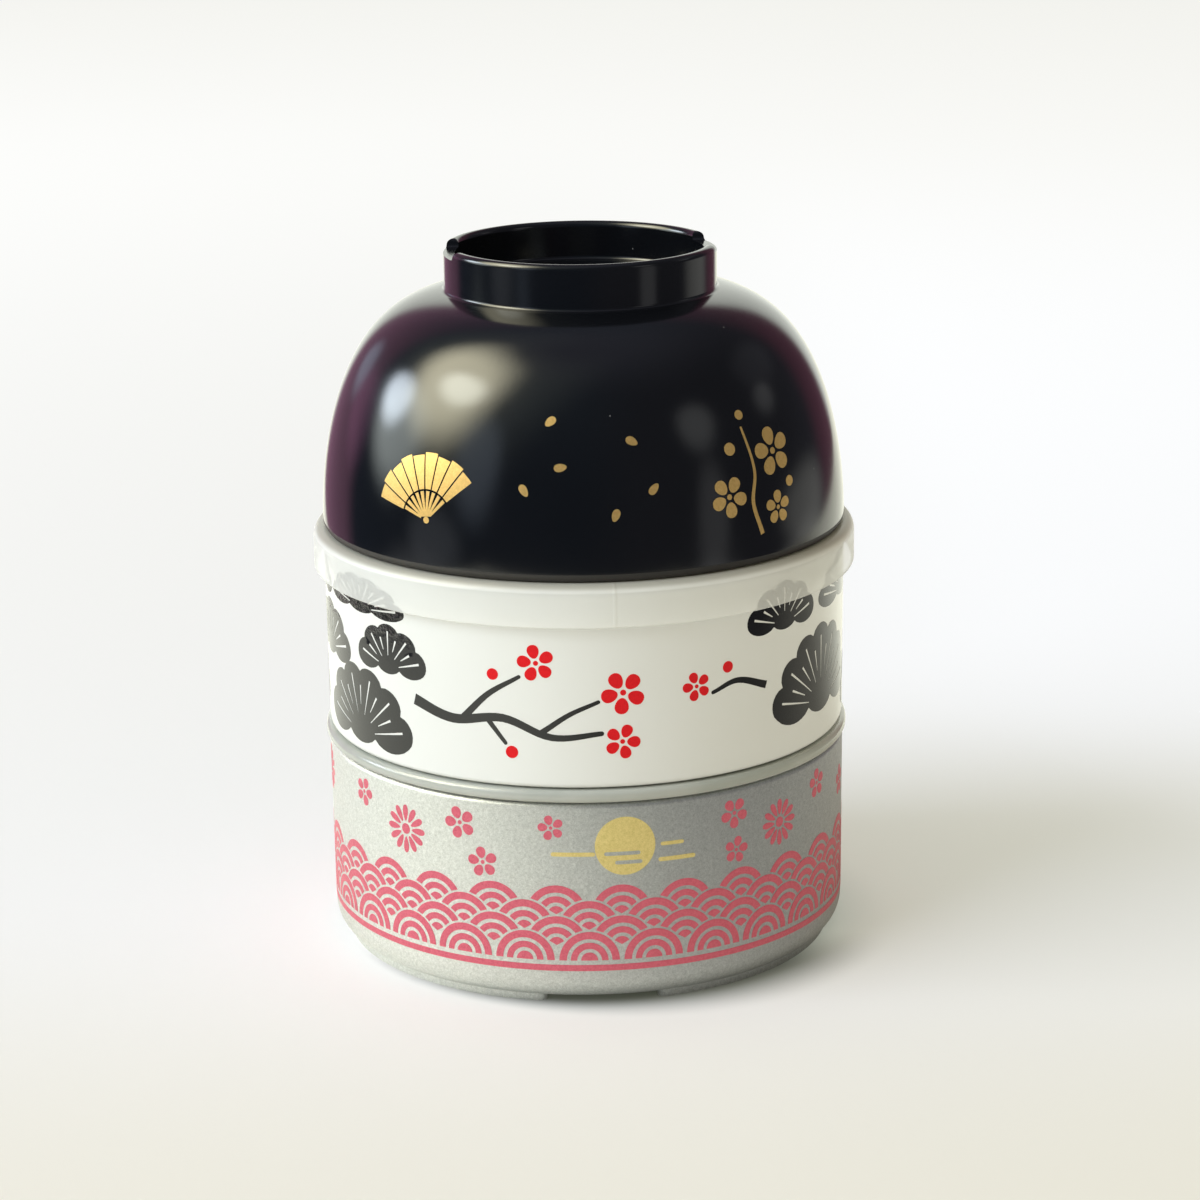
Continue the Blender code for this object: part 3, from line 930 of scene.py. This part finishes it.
def dome_wall(turn):
    """Where a point of a print lies on the dome; y is measured along the dome, up from its belt."""
    points = []
    for index in range(DOME_WALL_POINTS):
        angle = 0.5 * math.pi * (index / DOME_WALL_POINTS) ** 1.6
        points.append(dome(BOWL_RADIUS, DOME_HEIGHT, angle))
    run = [0.0]
    for (r0, z0), (r1, z1) in zip(points, points[1:]):
        run.append(run[-1] + math.hypot(r1 - r0, z1 - z0))

    def place(x, y, out):
        index = 1
        while run[index] < y * MM:
            index += 1
        share = (y * MM - run[index - 1]) / (run[index] - run[index - 1])
        (r0, z0), (r1, z1) = points[index - 1:index + 1]
        slope = Vector((r1 - r0, z1 - z0)).normalized()
        radius = r0 + (r1 - r0) * share
        height = z0 + (z1 - z0) * share
        angle = math.radians(turn) + x * MM / radius
        radius += out * MM * slope.y
        height -= out * MM * slope.x
        return Vector((radius * math.sin(angle), -radius * math.cos(angle), BOWL_MOUTH + BOWL_BELT + height))
    return place


def film(name, outlines, place, material, body, out=FILM_OUT):
    """A thin print on a wall: closed flat outlines, cut so that they can bend, laid where place says."""
    thickness = out + FILM_IN
    shape = taken(flat_curve(name + "_outline", outlines, thickness))
    bmesh.ops.remove_doubles(shape, verts=shape.verts, dist=FILM_MERGE)
    for axis in (0, 1):
        spans = [vert.co[axis] for vert in shape.verts]
        normal = Vector((axis == 0, axis == 1, 0))
        for cut in range(math.ceil(min(spans) / FILM_STEP), math.floor(max(spans) / FILM_STEP) + 1):
            everything = shape.verts[:] + shape.edges[:] + shape.faces[:]
            bmesh.ops.bisect_plane(
                shape, geom=everything, dist=FILM_MERGE, plane_co=normal * cut * FILM_STEP, plane_no=normal)
    for vert in shape.verts:
        x, y, z = vert.co
        vert.co = place(x, y, z + thickness / 2 - FILM_IN)
    settle(finished(shape, name, material), body)


def stripe(name, low, high, place, material, body):
    """A printed stripe that goes all the way round a tier, as one closed ring."""
    edges = ((low, -FILM_IN), (low, FILM_OUT), (high, FILM_OUT), (high, -FILM_IN))
    section = [place(0.0, y, out) for y, out in edges]
    settle(spun(name, section, material, closed=True), body)


def print_bowl():
    """Gold prints on the dome: an open fan at the left, a plum spray at the right, loose petals between."""
    gold = print_film("gold_on_black", colour(0.66, 0.42, 0.13), colour(0.92, 0.62, 0.24), 0.4, 0.7)

    def gild(name, outlines, turn, out=FILM_OUT):
        film(name, outlines, dome_wall(turn), gold, "soup_bowl", out)

    gild("gold_fan", placed(folding_fan(13.5, 128, 9), 0.0, 8.5, 14), -35)
    gild("gold_plum_spray", strewn(
        (plum, 5.2, 6.6, 20.0, 10), (plum, 4.4, -6.2, 12.6, 40), (plum, 3.6, 6.4, 8.6, 0),
        (berry, 1.3, -4.6, 22.0, 0), (berry, 1.0, -0.6, 28.4, 0), (berry, 1.1, 10.6, 13.2, 0),
    ), 39)
    twig = [branch((1.6, 4.0, 1.0), (-0.4, 10.6, 0.9), (0.8, 17.0, 0.7), (-0.8, 25.8, 0.5))]
    gild("gold_twig", twig, 39, FILM_OUT - 0.005)
    petals = []
    for x, y, turn in ((-13, 15, 30), (-5, 21, 100), (4, 10, -20), (9, 25, 60), (13, 17, 140), (-9, 29, -50)):
        petals.append(moved(petal(0.0, 2.6, 0.8, 0.2), x, y, turn))
    gild("gold_petals", petals, 2)
    for number, turn in enumerate((112, 180, 248)):
        gild(f"gold_blossoms_{number + 1}", strewn(
            (plum, 5.0, 0.0, 18.0, 24 * number), (plum, 3.6, 8.6, 11.0, 50),
            (berry, 1.2, -6.4, 11.0, 0), (berry, 0.9, -7.4, 15.4, 0),
        ), turn)


def print_white_tier():
    """Black pine clumps round the sides and back, and a branch with red plum blossom at the front."""
    black = black_print()
    red = print_film("red_ink", colour(0.68, 0.003, 0.008), colour(0.84, 0.006, 0.014), 0.38)
    wall = tier_wall(UPPER_TIER_BOX[0].z + FOOT_HEIGHT)

    def ink(name, outlines, out=FILM_OUT):
        film(name, outlines, wall, black, "upper_tier", out)

    clumps = (
        (-55.5, 51.0, 35, 15, 6), (-73.0, 65.4, 28, 10.6, 5), (-45.0, 67.4, 22, 9.4, 5),
        (-54.5, 78.2, 30, 7, 6), (-80.5, 77.8, 21, 7.2, 5), (60.0, 55.5, 37, 17, 7),
        (45.5, 75.6, 22, 9.2, 5), (75.0, 76.0, 34, 9.3, 6), (88.0, 50.5, 24, 11, 5),
        (-96.0, 52.5, 34, 13, 6), (-106.0, 70.0, 32, 14, 6), (112.0, 64.0, 36, 16, 7),
        (-140.0, 57.0, 36, 16, 7), (-152.0, 76.0, 26, 9, 5), (150.0, 53.0, 32, 14, 6),
        (146.0, 73.0, 28, 11, 5),
    )
    for number, (x, y, width, height, lobes) in enumerate(clumps):
        ink(f"black_pine_{number + 1}", placed(pine(width, height, lobes), x, y))
    boughs = (
        ((-37.5, 62.5, 2.4), (-28.0, 60.0, 2.0), (-17.0, 61.2, 1.7), (-7.0, 57.6, 1.4), (3.0, 58.4, 1.0)),
        ((-25.5, 60.6, 1.5), (-20.0, 66.0, 1.2), (-13.5, 70.0, 0.8)),
        ((-9.0, 58.6, 1.2), (-3.4, 62.4, 1.0), (2.4, 65.0, 0.8)),
        ((-20.0, 60.4, 1.1), (-16.5, 56.0, 0.8)),
        ((40.0, 64.0, 1.6), (32.5, 66.4, 1.2), (26.5, 64.8, 0.8)),
    )
    for number, knots in enumerate(boughs):
        ink(f"black_bough_{number + 1}", [branch(*knots)], FILM_OUT - 0.002 * (number + 1))
    blossoms = strewn(
        (plum, 4.0, -10.0, 73.0, 12), (plum, 4.7, 7.4, 66.8, 30), (plum, 3.8, 7.2, 56.6, 50),
        (plum, 3.2, 22.8, 66.6, 20), (berry, 1.3, -15.2, 54.2, 0), (berry, 1.2, -19.0, 70.2, 0),
        (berry, 1.2, 30.0, 69.6, 0),
    )
    film("red_plum", blossoms, wall, red, "upper_tier", FILM_OUT + 0.01)


def print_silver_tier():
    """Pink waves round the lower half, blossoms and a gold sun with mist above them."""
    pink = print_film("pink_ink", colour(0.56, 0.085, 0.13), colour(0.76, 0.17, 0.23), 0.42)
    gold = print_film("gold_on_silver", colour(0.60, 0.48, 0.15), colour(0.86, 0.70, 0.30), 0.45, 0.1)
    wall = tier_wall(LOWER_TIER_BOX[0].z + FOOT_HEIGHT)
    film("pink_waves", waves(26, 4, 10.2), wall, pink, "lower_tier")
    stripe("pink_stripe", 7.9, 9.2, wall, pink, "lower_tier")
    flowers = strewn(
        (chrysanthemum, 5.2, -41.0, 34.0, 0), (plum, 3.6, -27.0, 38.0, 20), (plum, 3.2, -55.0, 38.6, 50),
        (plum, 3.4, -22.0, 30.2, 10), (chrysanthemum, 5.0, 44.0, 33.6, 0), (plum, 3.4, 31.5, 38.4, 35),
        (plum, 3.3, 58.0, 38.2, 5), (plum, 3.0, 32.0, 30.4, 60), (plum, 2.8, -7.5, 38.6, 15),
    )
    for number in range(8):
        draw, size = (chrysanthemum, 5.0) if number % 3 == 1 else (plum, 3.5)
        flowers += strewn((draw, size, 74.0 + 27.5 * number, 34.0 + 3 * (number % 2), 25 * number))
    film("pink_flowers", flowers, wall, pink, "lower_tier")
    sun = [disc(6.2, 40), moved(bar(7.4, 0.8), -0.6, -1.6), moved(bar(5.6, 0.8), 0.7, -3.5)]
    mist = [moved(bar(9.0, 0.9), -10.6, -1.6), moved(bar(8.0, 0.9), 10.8, -3.5)]
    mist.append(moved(bar(5.0, 0.8), 9.8, -0.2))
    film("gold_sun", placed(sun + mist, 7.5, 34.6), wall, gold, "lower_tier")


# Camera, light and floor

CAMERA_PLACE = Vector((0.0, -0.70823, 0.26802))
CAMERA_LENS = 103.338
CAMERA_PITCH = math.radians(15.5617)
CAMERA_YAW = math.radians(0.2630)
CAMERA_ROLL = math.radians(-0.7151)

LAMP_TARGET = Vector((0.0, 0.0, 0.07))
LAMP_DISTANCE = 2.6
LAMP_AROUND = math.radians(-63)  # from the front towards +X
LAMP_ABOVE = math.radians(36)
LAMP_WIDTH = 2.0
LAMP_HEIGHT = 1.6
LAMP_POWER = 60.0
LAMP_TINT = (0.78, 0.87, 0.97)

# The painted shadow, a dark line, where the box meets the table
CONTACT_SHIFT = 0.0045
CONTACT_RADIUS = 0.0548
CONTACT_LEFT_WIDTH = 0.0035
CONTACT_RIGHT_WIDTH = 0.0095
CONTACT_FRONT_SHARE = 0.8
CONTACT_BACK_SHARE = 0.15


def make_camera():
    data = bpy.data.cameras.new("camera")
    data.sensor_width = 36.0
    data.sensor_fit = "HORIZONTAL"
    data.lens = CAMERA_LENS
    camera = added_object("camera", data)
    turn = Matrix.Rotation(-CAMERA_YAW, 4, "Z")
    tilt = Matrix.Rotation(math.pi / 2 - CAMERA_PITCH, 4, "X")
    roll = Matrix.Rotation(CAMERA_ROLL, 4, "Z")
    camera.matrix_world = Matrix.Translation(CAMERA_PLACE) @ turn @ tilt @ roll
    bpy.context.scene.camera = camera


def spot(tree, around, above, centre, reach, tilt=0.0):
    """A soft-edged oval of the surroundings in degrees, 1 inside and 0 outside; tilt lowers its right."""
    narrowing = tree.math("COSINE", tree.times(above, math.pi / 180))
    sideways = tree.times(tree.minus(around, centre[0]), narrowing)
    upwards = tree.plus(tree.minus(above, centre[1]), tree.times(sideways, tilt))
    across = tree.math("DIVIDE", sideways, reach[0])
    along = tree.math("DIVIDE", upwards, reach[1])
    return tree.ramp(tree.length(across, along), 0.45, 1.1, 1.0, 0.0)


def tinted(tree, kind, tint):
    """A shader node of one kind, with its colour."""
    node = tree.add(kind)
    tree.put(node.inputs["Color"], tint)
    return node


def make_world():
    """White for the camera, an even fill for matt surfaces, and a dim room with a window for gloss."""
    world = bpy.data.worlds.new("studio")
    bpy.context.scene.world = world
    tree = Tree(world)
    tree.nodes.clear()
    path = tree.add("LightPath")
    x, y, z = tree.split(tree.add("TexCoord").outputs["Generated"])
    around = tree.times(tree.bearing(x, y), 180 / math.pi)
    above = tree.times(tree.math("ARCSINE", z), 180 / math.pi)

    # Dim in front, plum walls towards the back, grey overhead, and white cloth straight behind
    front = tree.mix(tree.ramp(above, 0, 45), colour(0.04, 0.055, 0.085), colour(0.09, 0.12, 0.16))
    room = tree.mix(tree.ramp(x, -0.1, 0.5), front, colour(0.09, 0.09, 0.115))
    side = tree.ramp(x, -0.25, 0.2)
    wall = tree.ramp(tree.minus(y, tree.times(side, 0.1)), 0.45, 0.62)
    wall = tree.times(wall, tree.ramp(above, 20, 50, 1.0, 0.35))
    room = tree.mix(wall, room, tree.mix(side, colour(0.45, 0.22, 0.34), colour(0.24, 0.10, 0.15)))
    room = tree.mix(tree.ramp(above, 40, 85), room, colour(0.24, 0.24, 0.31))
    lean = tree.plus(tree.times(x, 0.065), tree.times(z, 0.08))
    room = tree.mix(tree.ramp(tree.plus(y, lean), 0.885, 0.945), room, colour(1.4, 1.45, 1.33))

    # A window at the left with its glow, and pale things around it, at the right and low down
    window = spot(tree, around, above, (-79.8, 40), (27.5, 30), 0.17)
    room = tree.mix(window, room, colour(9.0, 8.4, 6.0), "ADD")
    for centre, reach, tint in (
        ((-73, 39), (14.5, 10.5), colour(8.0, 8.3, 7.5)),
        ((-72, 40), (50, 42), colour(0.3, 0.33, 0.28)),
        ((-96, 13), (20, 17), colour(3.0, 3.3, 3.2)),
        ((-105, 20), (12, 11), colour(8.5, 9.6, 10.8)),
        ((-141, 10), (8, 9), colour(0.5, 0.7, 0.85)),
        ((-126, 6), (14, 12), colour(0.4, 0.15, 0.3)),
        ((-49, 14), (13, 20), colour(0.6, 0.7, 0.85)),
        ((57, 24), (11, 11), colour(0.65, 0.66, 0.65)),
        ((101, 19), (8, 6), colour(0.45, 0.45, 0.45)),
        ((112, 30), (18, 12), colour(0.1, 0.1, 0.11)),
        ((58, -5), (9, 20), colour(0.42, 0.42, 0.42)),
        ((-68, -9), (16, 9), colour(0.4, 0.42, 0.45)),
        ((112, -8), (20, 7), colour(0.55, 0.55, 0.5)),
        ((-80, -24), (24, 14), colour(0.5, 0.5, 0.5)),
        ((58, -24), (20, 12), colour(0.55, 0.55, 0.52)),
        ((116, -22), (24, 12), colour(1.0, 1.0, 0.95)),
    ):
        room = tree.mix(spot(tree, around, above, centre, reach), room, tint, "ADD")

    fill = colour(0.545, 0.51, 0.405)
    seen = tree.mix(path.outputs["Is Glossy Ray"], fill, room)
    seen = tree.mix(path.outputs["Is Camera Ray"], seen, colour(0.93, 0.93, 0.91))
    output = tree.add("OutputWorld")
    tree.put(output.inputs["Surface"], tinted(tree, "Background", seen).outputs[0])


def make_lamp():
    """A soft lamp where the window is; gloss doesn't show it."""
    data = bpy.data.lights.new("window", "AREA")
    data.shape = "RECTANGLE"
    data.size = LAMP_WIDTH
    data.size_y = LAMP_HEIGHT
    data.energy = LAMP_POWER
    data.color = LAMP_TINT
    away = Vector((
        math.sin(LAMP_AROUND) * math.cos(LAMP_ABOVE),
        -math.cos(LAMP_AROUND) * math.cos(LAMP_ABOVE),
        math.sin(LAMP_ABOVE),
    ))
    lamp = added_object("window", data)
    lamp.location = LAMP_TARGET + away * LAMP_DISTANCE
    lamp.rotation_euler = away.to_track_quat("Z", "Y").to_euler()
    lamp.visible_glossy = False


def mixed(tree, factor, first, second):
    """A shader node that goes from the first shader to the second."""
    node = tree.add("MixShader")
    tree.put(node.inputs[0], factor)
    tree.put(node.inputs[1], first.outputs[0])
    tree.put(node.inputs[2], second.outputs[0])
    return node


def added(tree, first, second):
    """A shader node with the light of both shaders."""
    node = tree.add("AddShader")
    tree.put(node.inputs[0], first.outputs[0])
    tree.put(node.inputs[1], second.outputs[0])
    return node


def floor_finish():
    """A pale table: nearly white for the camera from a painted glow, with painted light and shade and an end
    for gloss, and a painted shadow under the box.
    """
    material, tree = surface("floor")
    tree.dress({"Base Color": colour(0.86, 0.84, 0.78), "Roughness": 0.7, "Specular IOR Level": 0.0})
    path = tree.add("LightPath")
    x, y = tree.split(tree.place())[:2]

    # For the camera it glows with painted light, most of all far off, behind the camera, and beside the box
    # at its right
    far_lift = colour(0.43, 0.47, 0.45)
    lift = tree.mix(tree.ramp(y, -0.16, 0.02), colour(0.18, 0.19, 0.06), colour(0.24, 0.275, 0.225))
    lift = tree.mix(tree.ramp(y, 0.0, 1.3), lift, far_lift)
    lift = tree.mix(tree.ramp(y, -1.1, -0.17, 1.0, 0.0), lift, far_lift)
    painted_light_beside = tree.times(tree.ramp(x, -0.05, 0.14), tree.ramp(y, 0.03, 0.15))
    painted_light_beside = tree.times(painted_light_beside, tree.ramp(y, 0.4, 1.3, 1.0, 0.0))
    lift = tree.mix(painted_light_beside, lift, colour(0.1, 0.11, 0.15), "ADD")
    matt = tinted(tree, "BsdfDiffuse", colour(0.72, 0.68, 0.76))
    for_camera = added(tree, matt, tinted(tree, "Emission", lift))
    whole = mixed(tree, path.outputs["Is Camera Ray"], tree.shader, for_camera)

    # For gloss it is a cloth with an end, with painted light behind the box, at its left and before it, and
    # painted shade at its front right
    from_left = tree.plus(x, tree.ramp(y, 0.05, 0.35, 0.09, 0.0))
    from_right = tree.minus(x, tree.ramp(y, -0.12, 0.1, 0.25, 0.40))
    cloth = tree.times(tree.ramp(from_left, -0.215, -0.185), tree.ramp(from_right, -0.03, 0.03, 1.0, 0.0))
    cloth = tree.times(cloth, tree.ramp(y, -0.36, -0.3))
    painted_shade_front_right = tree.times(tree.ramp(x, -0.08, 0.1), tree.ramp(y, -0.08, 0.05, 1.0, 0.0))
    lit = tree.math("MAXIMUM", tree.ramp(y, 0.06, 0.2), tree.ramp(x, -0.16, -0.04, 1.0, 0.0))
    in_front = tree.times(tree.ramp(x, -0.12, 0.12, 1.35, 0.0), tree.ramp(y, -0.05, 0.01, 1.0, 0.0))
    lit = tree.times(tree.math("MAXIMUM", lit, in_front), tree.ramp(y, -0.32, -0.14))
    painted_light_in_gloss = tinted(tree, "Emission", tree.mix(lit, colour(0, 0, 0), colour(0.81, 0.84, 0.72)))
    dark = tinted(tree, "Emission", colour(0, 0, 0))
    table = mixed(tree, tree.times(painted_shade_front_right, 0.5), added(tree, tree.shader, painted_light_in_gloss), dark)
    in_gloss = mixed(tree, cloth, tree.add("BsdfTransparent"), table)
    whole = mixed(tree, path.outputs["Is Glossy Ray"], whole, in_gloss)

    # The painted shadow under the box, a dark line a little wider on the side away from the window
    distance = tree.minus(tree.length(tree.minus(x, CONTACT_SHIFT), y), CONTACT_RADIUS)
    width = tree.ramp(x, -0.03, 0.05, CONTACT_LEFT_WIDTH, CONTACT_RIGHT_WIDTH)
    painted_contact_shadow = tree.ramp(tree.math("DIVIDE", distance, width), -1.0, 1.0, 1.0, 0.0)
    painted_contact_shadow = tree.times(painted_contact_shadow, tree.ramp(y, -0.035, -0.012, CONTACT_FRONT_SHARE, CONTACT_BACK_SHARE))
    whole = mixed(tree, painted_contact_shadow, whole, dark)
    tree.put(tree.nodes["Material Output"].inputs["Surface"], whole.outputs[0])
    return material


def make_floor():
    """A pale table top, big enough to fill the view."""
    shape = bmesh.new()
    bmesh.ops.create_grid(shape, x_segments=1, y_segments=1, size=6.0)
    mesh = bpy.data.meshes.new("floor")
    shape.to_mesh(mesh)
    shape.free()
    mesh.materials.append(floor_finish())
    floor = added_object("floor", mesh)


bpy.context.scene.view_settings.view_transform = "Standard"
make_camera()
make_world()
make_floor()
make_lamp()
make_lower_tier()
make_lower_lid()
make_upper_tier()
make_upper_lid()
make_soup_bowl()
print_bowl()
print_white_tier()
print_silver_tier()
